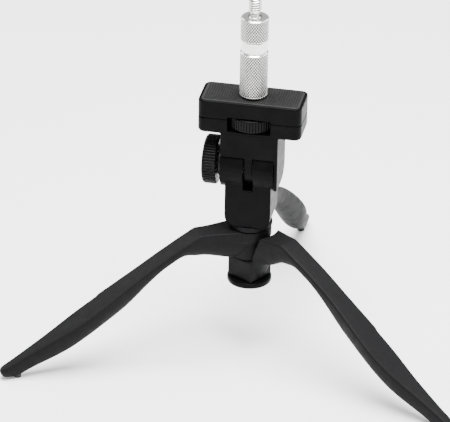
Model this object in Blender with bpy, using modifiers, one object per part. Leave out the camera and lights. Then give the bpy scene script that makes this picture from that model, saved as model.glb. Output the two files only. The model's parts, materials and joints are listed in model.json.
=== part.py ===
"""Tabletop tripod: three paddle legs, a tilt head with a knurled knob, and a screw-on spigot adapter.

Metres, +Z up, feet on z = 0. The front faces -Y, the tilt axis runs along X and the fixed rear leg
points almost along +Y. The origin is the middle of the footprint, and the column stands in front of it.
"""

import math

import bmesh
import bpy
from mathutils import Matrix

MM = 0.001

# Gaps
SEAT_GAP = 0.3 * MM  # between two faces that rest on each other
RUNNING_GAP = 0.3 * MM  # round a shaft, or beside a piece that turns

# Footprint and the column's stack, from the ground up
LEG_REACH = 132.3 * MM  # column axis to a leg's tip
TIP_RADIUS = 3.0 * MM  # rounding of a leg's tip in plan
CAP_BOTTOM = 36.2 * MM
CAP_THICKNESS = 3.1 * MM
CAP_RADIUS = 11.3 * MM
LOWER_COLLAR_HEIGHT = 11.4 * MM
LOWER_COLLAR_WIDTH = 16.0 * MM
COLLAR_GAP = 0.4 * MM
UPPER_COLLAR_HEIGHT = 16.7 * MM
UPPER_COLLAR_RADIUS = 9.0 * MM
UPPER_RIM_RADIUS = 10.8 * MM  # of its wider upper part
UPPER_RIM_HEIGHT = 7.0 * MM
UPPER_RIM_CHAMFER = 1.5 * MM  # round its lower edge
ROOT_THICKNESS = 2.5 * MM
ROOT_RADIUS = 11.2 * MM
TILT_DROP = 31.7 * MM  # post's foot to the tilt axis
AXLE_RADIUS = 3.0 * MM
AXLE_HEAD_RADIUS = 5.0 * MM
AXLE_HEAD_THICKNESS = 1.4 * MM
NUT_FLATS = 10.0 * MM
NUT_THICKNESS = 5.0 * MM
SPRING_THICKNESS = 1.2 * MM
SPRING_RADIUS = 6.4 * MM
DISC_THICKNESS = 0.8 * MM
DISC_RADIUS = 6.6 * MM
KEY_SIZE = 9.0 * MM
KEY_HEIGHT = 3.0 * MM

# Legs, each along its own outward line
LEFT_AZIMUTH = 210.0
RIGHT_AZIMUTH = 330.0
REAR_AZIMUTH = 87.4
TIP_HEIGHT = 5.2 * MM  # top face at the very tip
LEFT_SWELL = 0.6 * MM  # how far the sloping top departs from a straight line
RIGHT_SWELL = 1.3 * MM
REAR_SWELL = 2.4 * MM
LEFT_BEND = 28.5 * MM  # where the left leg's top turns down
RIGHT_BEND = 25.5 * MM
REAR_BEND = 38.0 * MM
RIGHT_LEVEL_DROP = 1.2 * MM  # left leg's top to the right leg's, at the column
NECK_START = 26.0 * MM
NECK_END = 54.0 * MM
NECK_HALF_WIDTH = 5.8 * MM
PADDLE_HALF_WIDTH = 7.7 * MM
PADDLE_PLACE = LEG_REACH - 44.3 * MM
PADDLE_SHIFT = 1.3 * MM  # how far a paddle lies to one side of its leg's line
SHIFT_START = 40.0 * MM
REAR_NECK_START = 14.2 * MM  # where the rear leg's thin root starts to thicken
REAR_NECK_PLACE = 23.0 * MM
REAR_PADDLE_START = 70.0 * MM
NECK_DEPTH = 7.0 * MM
BEND_TO_NECK = 16.0 * MM  # from a leg's bend outward: where it is NECK_DEPTH thick
BEND_TO_PADDLE = 42.0 * MM  # where it is PADDLE_DEPTH thick
UNDERSIDE_RUN = 14.0 * MM  # length over which a front leg's underside leaves its collar's curve
PADDLE_DEPTH = 12.6 * MM
TIP_DEPTH = 9.6 * MM
EDGE_ROUND = 0.9 * MM
GROUND_CLEARANCE = 0.4 * MM  # lowest the underside comes, so that the feet carry the tripod
NECK_TURN_UP = 3.8 * MM  # upper collar's foot to a front leg's underside at its bend
RISER_SLOPE_RUN = 5.6 * MM  # how far the lower leg's riser leans out on its way up
SECTION_ARC_POINTS = 10
SECTION_FULLNESS = 0.8  # exponent of the underside's arc: 1 is an ellipse, less is boxier
STATION_STEP = 7.0 * MM
FOOT_PAD_PLACE = LEG_REACH - 9.3 * MM
FOOT_PAD_RADIUS = 1.9 * MM
FOOT_PAD_HEIGHT = 3.2 * MM

# Post and its hinge
POST_WIDTH = 23.4 * MM
POST_DEPTH = 20.5 * MM
POST_CORNER = 5.6 * MM
BARREL_RADIUS = 12.8 * MM
BARREL_LEFT = 14.3 * MM  # middle of the slot to the barrel's left end
BARREL_RIGHT = 12.9 * MM
SLOT_WIDTH = 4.9 * MM
TONGUE_RADIUS = 10.4 * MM
TONGUE_WIDTH = 4.3 * MM
FRICTION_RADIUS = 8.2 * MM
FRICTION_THICKNESS = 0.7 * MM
BOLT_RADIUS = 3.0 * MM
BOLT_HEAD_FLATS = 9.0 * MM
BOLT_HEAD_THICKNESS = 3.6 * MM
TILT_NUT_THICKNESS = 4.2 * MM
KNOB_RADIUS = 12.5 * MM
KNOB_WIDTH = 7.3 * MM
KNOB_CHAMFER = 1.7 * MM
KNOB_RIDGES = 52
KNOB_RIDGE_DEPTH = 0.55 * MM
KNOB_CAP_RADIUS = 6.6 * MM
KNOB_CAP_THICKNESS = 1.2 * MM
WASHER_RADIUS = 7.6 * MM
WASHER_THICKNESS = 1.6 * MM

# Platform on top of the neck
EAR_THICKNESS = 1.7 * MM
EAR_DROP = 9.6 * MM  # tilt axis to the ear's lower edge
EAR_FRONT_CORNER = 1.5 * MM
EAR_REAR_CORNER = 8.0 * MM
PLATE_WIDTH = 52.4 * MM
PLATE_DEPTH = 22.4 * MM
PLATE_CORNER = 3.6 * MM
PLATE_RISE = 20.0 * MM  # tilt axis to the plate's underside
LOWER_SHELL_HEIGHT = 8.0 * MM
UPPER_SHELL_HEIGHT = 9.4 * MM
SHELL_WALL = 1.8 * MM
SHELL_FLOOR = 2.0 * MM
PAD_INSET = 1.1 * MM
PAD_THICKNESS = 1.6 * MM
PAD_PROUD = 0.5 * MM
WHEEL_RADIUS = 12.2 * MM
WHEEL_THICKNESS = 6.5 * MM
WHEEL_RIDGES = 50
WHEEL_RIDGE_DEPTH = 0.4 * MM
WINDOW_WIDTH = 21.8 * MM
WINDOW_CLEARANCE = 0.8 * MM
WHEEL_SEAT_RADIUS = 7.0 * MM
SCREW_RADIUS = 3.175 * MM
SCREW_HEX_FLATS = 9.0 * MM
SCREW_HEX_THICKNESS = 4.0 * MM
SCREW_PROUD = 7.5 * MM
CLIP_THICKNESS = 0.8 * MM
CLIP_RADIUS = 5.6 * MM
SHELL_SCREW_RADIUS = 1.0 * MM
SHELL_SCREW_HEAD = 1.9 * MM
SHELL_SCREW_HEAD_DEPTH = 1.2 * MM
SHELL_SCREW_LENGTH = 11.0 * MM
SHELL_BOSS_RADIUS = 2.7 * MM
SHELL_BOSS_INSET = 4.7 * MM

# Spigot adapter
ADAPTER_RADIUS = 7.0 * MM
ADAPTER_LOWER_GRIP = 25.4 * MM
ADAPTER_GROOVE = 6.2 * MM
ADAPTER_GROOVE_RADIUS = 6.35 * MM
ADAPTER_UPPER_GRIP = 11.0 * MM
ADAPTER_CHAMFER = 1.0 * MM
ADAPTER_BORE_DEPTH = 9.5 * MM
STUD_RADIUS = 3.175 * MM
STUD_NECK_RADIUS = 2.2 * MM
STUD_NECK_LENGTH = 3.3 * MM
STUD_THREAD_LENGTH = 6.6 * MM
STUD_ROOT_LENGTH = 6.0 * MM
STUD_SOCKET_EXTRA = 1.0 * MM

# Sides of round pieces
ROUND = 32
SMALL_ROUND = 16

# Heights that follow from the stack
LOWER_COLLAR_BOTTOM = CAP_BOTTOM + CAP_THICKNESS + SEAT_GAP
LOWER_COLLAR_TOP = LOWER_COLLAR_BOTTOM + LOWER_COLLAR_HEIGHT
UPPER_COLLAR_BOTTOM = LOWER_COLLAR_TOP + COLLAR_GAP
UPPER_COLLAR_TOP = UPPER_COLLAR_BOTTOM + UPPER_COLLAR_HEIGHT
ROOT_BOTTOM = UPPER_COLLAR_TOP + COLLAR_GAP
ROOT_TOP = ROOT_BOTTOM + ROOT_THICKNESS
POST_BOTTOM = ROOT_TOP + SEAT_GAP
TILT_HEIGHT = POST_BOTTOM + TILT_DROP

# Heights above the tilt axis
SHELL_SEAM = PLATE_RISE + LOWER_SHELL_HEIGHT
SHELL_TOP = SHELL_SEAM + SEAT_GAP + UPPER_SHELL_HEIGHT
PAD_TOP = SHELL_TOP + PAD_PROUD
PAD_BOTTOM = PAD_TOP - PAD_THICKNESS
PAD_FLOOR = PAD_BOTTOM - SEAT_GAP
CEILING = PAD_FLOOR - SHELL_WALL
WHEEL_BOTTOM = PLATE_RISE + SHELL_FLOOR + RUNNING_GAP
WHEEL_TOP = WHEEL_BOTTOM + WHEEL_THICKNESS
ADAPTER_SEAT = PAD_TOP + SEAT_GAP

# The footprint's middle is the origin, so the column axis lies in front of it
FRONT_REACH = (LEG_REACH - TIP_RADIUS) * math.sin(math.radians(30)) + TIP_RADIUS
COLUMN_Y = -(LEG_REACH - FRONT_REACH) / 2


def clear_scene():
    for obj in list(bpy.data.objects):
        bpy.data.objects.remove(obj, do_unlink=True)


def new_collection(name, hidden=False):
    collection = bpy.data.collections.new(name)
    bpy.context.scene.collection.children.link(collection)
    collection.hide_render = hidden
    return collection


def finish(name, colour, roughness, metallic=0.0):
    material = bpy.data.materials.new(name)
    material.use_nodes = True
    shader = material.node_tree.nodes["Principled BSDF"]
    shader.inputs["Base Color"].default_value = (*colour, 1.0)
    shader.inputs["Roughness"].default_value = roughness
    shader.inputs["Metallic"].default_value = metallic
    return material


def empty(name, parent=None, location=(0, 0, 0), turn=0.0):
    obj = bpy.data.objects.new(name, None)
    obj.location = location
    obj.rotation_euler = (0, 0, math.radians(turn))
    obj.parent = parent
    parts.objects.link(obj)
    return obj


def place(name, bm, parent, location=(0, 0, 0), axis="Z", material=None, cutter=False):
    """Makes an object from bm. Its own +Z is turned to lie along the given axis of its parent."""
    bmesh.ops.recalc_face_normals(bm, faces=bm.faces)
    mesh = bpy.data.meshes.new(name)
    bm.to_mesh(mesh)
    bm.free()
    obj = bpy.data.objects.new(name, mesh)
    obj.parent = parent
    obj.location = location
    obj.rotation_euler = {"Z": (0, 0, 0), "X": (0, math.pi / 2, 0), "-X": (0, -math.pi / 2, 0)}[axis]
    if cutter:
        cutters.objects.link(obj)
        obj.hide_render = True
        obj.display_type = "WIRE"
    else:
        parts.objects.link(obj)
        obj.data.materials.append(material)
        mesh.shade_smooth()
        mesh.set_sharp_from_angle(angle=math.radians(32))
    return obj


def box(low, high):
    bm = bmesh.new()
    middle = [(a + b) / 2 for a, b in zip(low, high)]
    size = [b - a for a, b in zip(low, high)]
    bmesh.ops.create_cube(bm, size=1, matrix=Matrix.LocRotScale(middle, None, size))
    return bm


def round_edges(bm, chosen, radius, segments):
    edges = [edge for edge in bm.edges if chosen(edge)]
    bmesh.ops.bevel(bm, geom=edges, offset=radius, segments=segments, profile=0.5, affect="EDGES")
    return bm


def upright(edge):
    ends = [vert.co for vert in edge.verts]
    return abs(ends[0].z - ends[1].z) > abs((ends[0] - ends[1]).xy.length)


def at_height(height):
    return lambda edge: all(abs(vert.co.z - height) < 1e-6 for vert in edge.verts)


def rod(radius, low, high, sides=ROUND, top_radius=None):
    """A cylinder, or a cone, along the object's own Z."""
    bm = bmesh.new()
    top = radius if top_radius is None else top_radius
    middle = Matrix.Translation((0, 0, (low + high) / 2))
    bmesh.ops.create_cone(
        bm, cap_ends=True, segments=sides, radius1=radius, radius2=top, depth=high - low, matrix=middle
    )
    return bm


def hexagon(flats, low, high):
    return rod(flats / math.sqrt(3), low, high, sides=6)


def turned(name, profile, parent, location=(0, 0, 0), axis="Z", material=None, sides=ROUND):
    """A profile of (radius, height) points, top to bottom down its outer side, turned about Z."""
    bm = bmesh.new()
    verts = [bm.verts.new((radius, 0, height)) for radius, height in profile]
    pairs = list(zip(verts, verts[1:]))
    if profile[0][0] > 0:
        pairs.append((verts[-1], verts[0]))
    for pair in pairs:
        bm.edges.new(pair)
    obj = place(name, bm, parent, location, axis, material)
    screw = obj.modifiers.new("turn", "SCREW")
    screw.axis = "Z"
    screw.angle = math.tau
    screw.steps = sides
    screw.render_steps = sides
    screw.use_merge_vertices = True
    screw.merge_threshold = 0.00001
    screw.use_smooth_shade = True
    return obj


def ring(name, inner, outer, low, high, parent, location=(0, 0, 0), axis="Z", material=None):
    profile = [(inner, high), (outer, high), (outer, low), (inner, low)]
    return turned(name, profile, parent, location, axis, material)


def ridged(radius, depth, ridges, low, high, chamfer=0.0):
    """A wheel with a ridge on every other side; its upper end is chamfered."""
    bm = rod(radius, low, high - chamfer, sides=2 * ridges)
    if chamfer:
        top = next(face for face in bm.faces if face.calc_center_median().z > high - chamfer - 1e-6)
        made = bmesh.ops.extrude_face_region(bm, geom=[top])
        bmesh.ops.delete(bm, geom=[top], context="FACES_ONLY")
        shrink = 1 - chamfer / radius
        for vert in [item for item in made["geom"] if isinstance(item, bmesh.types.BMVert)]:
            vert.co = (vert.co.x * shrink, vert.co.y * shrink, high)
    for vert in bm.verts:
        step = round(math.atan2(vert.co.y, vert.co.x) / (math.pi / ridges))
        if step % 2:
            vert.co.xy *= 1 - depth / radius
    return bm


def cut(obj, bm, name, parent, location=(0, 0, 0), axis="Z"):
    combine(obj, "DIFFERENCE", bm, name, parent, location, axis)


def join(obj, bm, name, parent, location=(0, 0, 0), axis="Z"):
    combine(obj, "UNION", bm, name, parent, location, axis)


def combine(obj, operation, bm, name, parent, location, axis):
    tool = place(obj.name + "_" + name, bm, parent, location, axis, cutter=True)
    modifier = obj.modifiers.new(name, "BOOLEAN")
    modifier.operation = operation
    modifier.object = tool


def blend(points, at):
    """A smooth curve through (place, value) points, level at each of them."""
    if at <= points[0][0]:
        return points[0][1]
    for (start, first), (end, last) in zip(points, points[1:]):
        if at <= end:
            share = (at - start) / (end - start)
            return first + (last - first) * share * share * (3 - 2 * share)
    return points[-1][1]


def leg_top(at, level, bend, swell):
    """Level from the column to the bend, then a slightly S-shaped slope to the tip."""
    share = max(at - bend, 0) / (LEG_REACH - bend)
    return level + (TIP_HEIGHT - level) * share + swell * math.sin(math.tau * share)


def leg_section(top, bottom, half_width):
    """(across, height) points: a flat top with rounded edges over a U-shaped underside."""
    edge = min(EDGE_ROUND, half_width / 3, (top - bottom) / 3)
    section = [(half_width - edge, top), (edge - half_width, top)]
    for step in range(SECTION_ARC_POINTS + 1):
        angle = math.pi * (1 - step / SECTION_ARC_POINTS)
        across = half_width * math.copysign(abs(math.cos(angle)) ** SECTION_FULLNESS, math.cos(angle))
        section.append((across, top - edge - (top - edge - bottom) * math.sin(angle) ** SECTION_FULLNESS))
    return section


def leg_stations(start):
    """Distances from the column: even steps, then closer ones round the tip."""
    straight = LEG_REACH - TIP_RADIUS
    count = round((straight - start) / STATION_STEP)
    even = [start + (straight - start) * step / count for step in range(count)]
    return even + [straight + TIP_RADIUS * math.sin(math.pi / 2 * step / 4.4) for step in range(5)]


def leg_loft(start, level, bend, swell, root_width, bottom_of, shift):
    """The leg along +X from start to its tip. bottom_of gives its underside, shift its paddle's offset."""
    widths = [
        (start, root_width),
        (NECK_START, NECK_HALF_WIDTH),
        (NECK_END, NECK_HALF_WIDTH),
        (PADDLE_PLACE, PADDLE_HALF_WIDTH),
        (LEG_REACH - TIP_RADIUS, TIP_RADIUS),
    ]
    rings = []
    for at in leg_stations(start):
        top = leg_top(at, level, bend, swell)
        round_off = max(at - (LEG_REACH - TIP_RADIUS), 0) / TIP_RADIUS
        narrowing = math.sqrt(max(1 - round_off**2, 0.02))
        half_width = blend(widths, at) * narrowing
        bottom = max(bottom_of(at, top), GROUND_CLEARANCE)
        bottom = top - (top - bottom) * narrowing
        offset = blend([(SHIFT_START, 0), (PADDLE_PLACE, shift), (LEG_REACH - TIP_RADIUS, 0)], at)
        section = leg_section(top, bottom, half_width)
        rings.append([(at, across + offset, height) for across, height in section])
    bm = bmesh.new()
    verts = [[bm.verts.new(point) for point in points] for points in rings]
    for first, second in zip(verts, verts[1:]):
        for index in range(len(first)):
            after = (index + 1) % len(first)
            bm.faces.new((first[index], first[after], second[after], second[index]))
    bm.faces.new(verts[0])
    bm.faces.new(verts[-1])
    return bm


def depth_beyond(bend):
    """Thickness of a leg from its bend to its tip."""
    return [
        (bend + BEND_TO_NECK, NECK_DEPTH),
        (bend + BEND_TO_PADDLE, PADDLE_DEPTH),
        (PADDLE_PLACE + 6 * MM, PADDLE_DEPTH),
        (LEG_REACH - 10 * MM, TIP_DEPTH),
        (LEG_REACH, TIP_HEIGHT - GROUND_CLEARANCE),
    ]


def front_underside(bend, turn_up):
    """A front leg's underside: turn_up's curve by the column, then the paddle's thickness below the top."""
    thickness = depth_beyond(bend)

    def bottom_of(at, top):
        share = blend([(bend, 0), (bend + UNDERSIDE_RUN, 1)], at)
        return blend(turn_up, at) * (1 - share) + (top - blend(thickness, at)) * share

    return bottom_of


def add_foot(leg, pivot, name, at):
    """A rubber button in a pocket under the tip."""
    pocket = rod(FOOT_PAD_RADIUS + SEAT_GAP, -5 * MM, FOOT_PAD_HEIGHT + SEAT_GAP, sides=SMALL_ROUND)
    cut(leg, pocket, "foot_pocket", pivot, (at, 0, 0))
    button = rod(FOOT_PAD_RADIUS, 0, FOOT_PAD_HEIGHT, sides=SMALL_ROUND)
    place(name, button, pivot, (at, 0, 0), material=rubber)


def bore_column(piece, name, low, high, radius=AXLE_RADIUS + RUNNING_GAP):
    cut(piece, rod(radius, low, high, sides=SMALL_ROUND), name, column)


def build_left_leg():
    """The upper front leg: a round collar with the leg leaving it level."""
    pivot = empty("leg_left_pivot", column, turn=LEFT_AZIMUTH)
    turn_up = [(8 * MM, UPPER_COLLAR_BOTTOM), (LEFT_BEND, UPPER_COLLAR_BOTTOM + NECK_TURN_UP)]
    bottom_of = front_underside(LEFT_BEND, turn_up)
    inner_width = UPPER_COLLAR_RADIUS - 0.4 * MM
    bm = leg_loft(0, UPPER_COLLAR_TOP, LEFT_BEND, LEFT_SWELL, inner_width, bottom_of, PADDLE_SHIFT)
    leg = place("leg_left", bm, pivot, material=leg_plastic)
    join(leg, rod(UPPER_COLLAR_RADIUS, UPPER_COLLAR_BOTTOM, UPPER_COLLAR_TOP), "collar", column)
    rim_bottom = UPPER_COLLAR_TOP - UPPER_RIM_HEIGHT
    rim = rod(UPPER_RIM_RADIUS, rim_bottom, UPPER_COLLAR_TOP)
    join(leg, round_edges(rim, at_height(rim_bottom), UPPER_RIM_CHAMFER, 1), "rim", column)
    recess_bottom = UPPER_COLLAR_TOP + COLLAR_GAP - DISC_THICKNESS - 2 * SEAT_GAP
    bore_column(leg, "disc_recess", recess_bottom, UPPER_COLLAR_TOP + MM, DISC_RADIUS + SEAT_GAP)
    bore_column(leg, "bore", UPPER_COLLAR_BOTTOM - MM, UPPER_COLLAR_TOP + MM)
    add_foot(leg, pivot, "foot_left", FOOT_PAD_PLACE)


def build_right_leg():
    """The lower front leg: a square collar and a riser that leans out to the other legs' height."""
    pivot = empty("leg_right_pivot", column, turn=RIGHT_AZIMUTH)
    half = LOWER_COLLAR_WIDTH / 2
    turn_up = [
        (half - MM, LOWER_COLLAR_BOTTOM),
        (half + 5 * MM, LOWER_COLLAR_TOP - MM),
        (RIGHT_BEND, UPPER_COLLAR_BOTTOM + NECK_TURN_UP),
    ]
    bottom_of = front_underside(RIGHT_BEND, turn_up)
    level = UPPER_COLLAR_TOP - RIGHT_LEVEL_DROP
    bm = leg_loft(half - MM, level, RIGHT_BEND, RIGHT_SWELL, half - 0.4 * MM, bottom_of, -PADDLE_SHIFT)
    leg = place("leg_right", bm, pivot, material=leg_plastic)
    block = box((-half, -half, LOWER_COLLAR_BOTTOM), (half, half, LOWER_COLLAR_TOP))
    join(leg, round_edges(block, upright, 1 * MM, 2), "collar", pivot)
    clearance = rod(
        UPPER_COLLAR_RADIUS + RUNNING_GAP,
        LOWER_COLLAR_TOP,
        UPPER_COLLAR_TOP + MM,
        top_radius=UPPER_COLLAR_RADIUS + RUNNING_GAP + RISER_SLOPE_RUN,
    )
    cut(leg, clearance, "riser_lean", column)
    recess_bottom = LOWER_COLLAR_TOP + COLLAR_GAP - DISC_THICKNESS - 2 * SEAT_GAP
    bore_column(leg, "disc_recess", recess_bottom, LOWER_COLLAR_TOP + MM, DISC_RADIUS + SEAT_GAP)
    spring_recess_top = LOWER_COLLAR_BOTTOM + SPRING_THICKNESS + SEAT_GAP
    bore_column(
        leg, "spring_recess", LOWER_COLLAR_BOTTOM - MM, spring_recess_top, SPRING_RADIUS + SEAT_GAP
    )
    bore_column(leg, "bore", LOWER_COLLAR_BOTTOM - MM, LOWER_COLLAR_TOP + MM)
    add_foot(leg, pivot, "foot_right", FOOT_PAD_PLACE)


def build_rear_leg():
    """The fixed leg: its root lies under the post, with a square key that stops it turning."""
    pivot = empty("leg_rear_pivot", column, turn=REAR_AZIMUTH)
    thickness = [
        (REAR_NECK_START, ROOT_THICKNESS - 0.1 * MM),
        (REAR_NECK_PLACE, NECK_DEPTH),
        (REAR_BEND + 8 * MM, NECK_DEPTH + 3 * MM),
        (REAR_PADDLE_START, PADDLE_DEPTH),
        (PADDLE_PLACE + 6 * MM, PADDLE_DEPTH),
        *depth_beyond(REAR_BEND)[3:],
    ]

    def bottom_of(at, top):
        return top - blend(thickness, at)

    bm = leg_loft(0, ROOT_TOP, REAR_BEND, REAR_SWELL, ROOT_RADIUS - MM, bottom_of, -PADDLE_SHIFT)
    leg = place("leg_rear", bm, pivot, material=leg_plastic)
    join(leg, rod(ROOT_RADIUS, ROOT_BOTTOM, ROOT_TOP), "root", column)
    half = KEY_SIZE / 2
    key = box((-half, -half, ROOT_TOP - MM), (half, half, ROOT_TOP + KEY_HEIGHT))
    join(leg, key, "key", column)
    bore_column(leg, "bore", ROOT_BOTTOM - MM, ROOT_TOP + KEY_HEIGHT + MM)
    add_foot(leg, pivot, "foot_rear", FOOT_PAD_PLACE)


def build_column():
    """The screw that the collars turn on, with its cap, spring washer, discs and nut."""
    recess = CAP_BOTTOM + AXLE_HEAD_THICKNESS + SEAT_GAP
    hole = AXLE_RADIUS + RUNNING_GAP
    pocket = AXLE_HEAD_RADIUS + SEAT_GAP
    top = CAP_BOTTOM + CAP_THICKNESS
    profile = [
        (hole, top),
        (CAP_RADIUS - 0.3 * MM, top),
        (CAP_RADIUS, top - 0.3 * MM),
        (CAP_RADIUS, CAP_BOTTOM + 0.8 * MM),
        (CAP_RADIUS - 0.8 * MM, CAP_BOTTOM),
        (pocket, CAP_BOTTOM),
        (pocket, recess),
        (hole, recess),
    ]
    turned("bottom_cap", profile, column, material=body_plastic)
    nut_bottom = POST_BOTTOM + KEY_HEIGHT + 5 * MM
    screw_top = nut_bottom + NUT_THICKNESS + 1 * MM
    head_bottom = CAP_BOTTOM
    profile = [
        (0, screw_top),
        (AXLE_RADIUS, screw_top),
        (AXLE_RADIUS, head_bottom + AXLE_HEAD_THICKNESS),
        (AXLE_HEAD_RADIUS, head_bottom + AXLE_HEAD_THICKNESS),
        (AXLE_HEAD_RADIUS, head_bottom),
        (0, head_bottom),
    ]
    screw = turned("axle_screw", profile, column, material=steel, sides=SMALL_ROUND)
    cut(screw, hexagon(3 * MM, head_bottom - MM, head_bottom + 0.9 * MM), "hex_socket", column)
    low = LOWER_COLLAR_BOTTOM
    ring("spring_washer", hole, SPRING_RADIUS, low, low + SPRING_THICKNESS, column, material=steel)
    low = LOWER_COLLAR_TOP + COLLAR_GAP - SEAT_GAP - DISC_THICKNESS
    ring("lower_disc", hole, DISC_RADIUS, low, low + DISC_THICKNESS, column, material=nylon)
    low = UPPER_COLLAR_TOP + COLLAR_GAP - SEAT_GAP - DISC_THICKNESS
    ring("upper_disc", hole, DISC_RADIUS, low, low + DISC_THICKNESS, column, material=nylon)
    nut = place(
        "axle_nut", hexagon(NUT_FLATS, nut_bottom, nut_bottom + NUT_THICKNESS), column, material=steel
    )
    bore_column(nut, "thread", nut_bottom - MM, nut_bottom + NUT_THICKNESS + MM)
    return nut_bottom, screw_top


def build_post(nut_bottom, screw_top):
    """The post: a rounded box with the hinge's slotted barrel across its top."""
    half_width = POST_WIDTH / 2
    half_depth = POST_DEPTH / 2
    bm = box((-half_width, -half_depth, POST_BOTTOM), (half_width, half_depth, TILT_HEIGHT))

    def lower_side(edge):
        low = all(vert.co.z < POST_BOTTOM + 1e-6 for vert in edge.verts)
        return low and abs(edge.verts[0].co.x - edge.verts[1].co.x) < 1e-6

    round_edges(bm, lower_side, POST_CORNER, 6)
    post = place("post", bm, column, material=body_plastic)
    join(post, rod(BARREL_RADIUS, -BARREL_LEFT, BARREL_RIGHT), "barrel", tilt_base, axis="X")
    slot_floor = TONGUE_RADIUS + 2 * RUNNING_GAP
    slot = box(
        (-SLOT_WIDTH / 2, -BARREL_RADIUS - MM, -slot_floor),
        (SLOT_WIDTH / 2, BARREL_RADIUS + MM, BARREL_RADIUS + MM),
    )
    cut(post, slot, "slot", tilt_base)
    recess = SLOT_WIDTH / 2 + FRICTION_THICKNESS + SEAT_GAP
    cut(post, rod(FRICTION_RADIUS + SEAT_GAP, -recess, recess), "friction_recess", tilt_base, axis="X")
    bore = rod(BOLT_RADIUS + RUNNING_GAP, -BARREL_LEFT - MM, BARREL_RIGHT + MM, sides=SMALL_ROUND)
    cut(post, bore, "tilt_bore", tilt_base, axis="X")
    nut_low = BARREL_RIGHT - TILT_NUT_THICKNESS - 2 * SEAT_GAP
    nut_pocket = hexagon(NUT_FLATS + 2 * SEAT_GAP, nut_low, BARREL_RIGHT + MM)
    cut(post, nut_pocket, "nut_pocket", tilt_base, axis="X")
    bore_column(post, "axle_bore", POST_BOTTOM - MM, screw_top + SEAT_GAP)
    half_key = KEY_SIZE / 2 + SEAT_GAP
    keyway = box(
        (-half_key, -half_key, POST_BOTTOM - MM), (half_key, half_key, ROOT_TOP + KEY_HEIGHT + SEAT_GAP)
    )
    cut(post, keyway, "keyway", column)
    half_flats = NUT_FLATS / 2 + SEAT_GAP
    nut_slot = box(
        (-half_flats, -half_flats - MM, nut_bottom - SEAT_GAP),
        (half_flats, half_depth + MM, nut_bottom + NUT_THICKNESS + SEAT_GAP),
    )
    cut(post, nut_slot, "nut_slot", column)
    return nut_low


def build_tilt_hardware(nut_low):
    """The bolt, its nut behind the ear, the friction discs, and the knob that tightens them."""
    inner = BOLT_RADIUS + RUNNING_GAP
    for side, name in ((-1, "friction_disc_left"), (1, "friction_disc_right")):
        middle = side * (SLOT_WIDTH + FRICTION_THICKNESS) / 2
        half = FRICTION_THICKNESS / 2
        ring(name, inner, FRICTION_RADIUS, -half, half, tilt_base, (middle, 0, 0), "X", nylon)
    nut_bottom = nut_low + SEAT_GAP
    nut = place(
        "tilt_nut",
        hexagon(NUT_FLATS, 0, TILT_NUT_THICKNESS),
        tilt_base,
        (nut_bottom, 0, 0),
        "X",
        steel,
    )
    thread = rod(inner, -MM, TILT_NUT_THICKNESS + MM, sides=SMALL_ROUND)
    cut(nut, thread, "thread", tilt_base, (nut_bottom, 0, 0), "X")
    washer_start = -BARREL_LEFT - SEAT_GAP
    spot = (washer_start, 0, 0)
    ring("knob_washer", inner, WASHER_RADIUS, 0, WASHER_THICKNESS, tilt_base, spot, "-X", steel)
    knob_start = washer_start - WASHER_THICKNESS - SEAT_GAP
    knob_place = (knob_start, 0, 0)
    bm = ridged(KNOB_RADIUS, KNOB_RIDGE_DEPTH, KNOB_RIDGES, 0, KNOB_WIDTH, KNOB_CHAMFER)
    knob = place("tilt_knob", bm, knob_turn, knob_place, "-X", body_plastic)
    cap_floor = KNOB_WIDTH - KNOB_CAP_THICKNESS - SEAT_GAP
    cap_recess = rod(KNOB_CAP_RADIUS + SEAT_GAP, cap_floor, KNOB_WIDTH + MM)
    cut(knob, cap_recess, "cap_recess", knob_turn, knob_place, "-X")
    head_low = cap_floor - SEAT_GAP - BOLT_HEAD_THICKNESS
    head_pocket = hexagon(BOLT_HEAD_FLATS + 2 * SEAT_GAP, head_low - SEAT_GAP, cap_floor + MM)
    cut(knob, head_pocket, "head_pocket", knob_turn, knob_place, "-X")
    bore = rod(inner, -MM, cap_floor, sides=SMALL_ROUND)
    cut(knob, bore, "bore", knob_turn, knob_place, "-X")
    cap = rod(KNOB_CAP_RADIUS, 0, KNOB_CAP_THICKNESS)
    round_edges(cap, at_height(KNOB_CAP_THICKNESS), 0.4 * MM, 2)
    place("knob_cap", cap, knob_turn, (knob_start - cap_floor - SEAT_GAP, 0, 0), "-X", body_plastic)
    bolt = place(
        "tilt_bolt",
        hexagon(BOLT_HEAD_FLATS, head_low, head_low + BOLT_HEAD_THICKNESS),
        knob_turn,
        knob_place,
        "-X",
        steel,
    )
    bolt_end = knob_start - (nut_bottom + TILT_NUT_THICKNESS)
    shank = rod(BOLT_RADIUS, bolt_end, head_low + MM, sides=SMALL_ROUND)
    join(bolt, shank, "shank", knob_turn, knob_place, "-X")


def shell_block(low, high, width, depth, corner):
    bm = box((-width / 2, -depth / 2, low), (width / 2, depth / 2, high))
    return round_edges(bm, upright, corner, 5)


def boss_places():
    across = PLATE_WIDTH / 2 - SHELL_BOSS_INSET
    along = PLATE_DEPTH / 2 - SHELL_BOSS_INSET
    corners = ((-1, -1), (1, -1), (-1, 1), (1, 1))
    return [(side * across, end * along, 0) for side, end in corners]


def window_box():
    low = WHEEL_BOTTOM - WINDOW_CLEARANCE
    high = WHEEL_TOP + WINDOW_CLEARANCE
    half = WINDOW_WIDTH / 2
    return box((-half, -PLATE_DEPTH, low), (half, PLATE_DEPTH, high))


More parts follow.
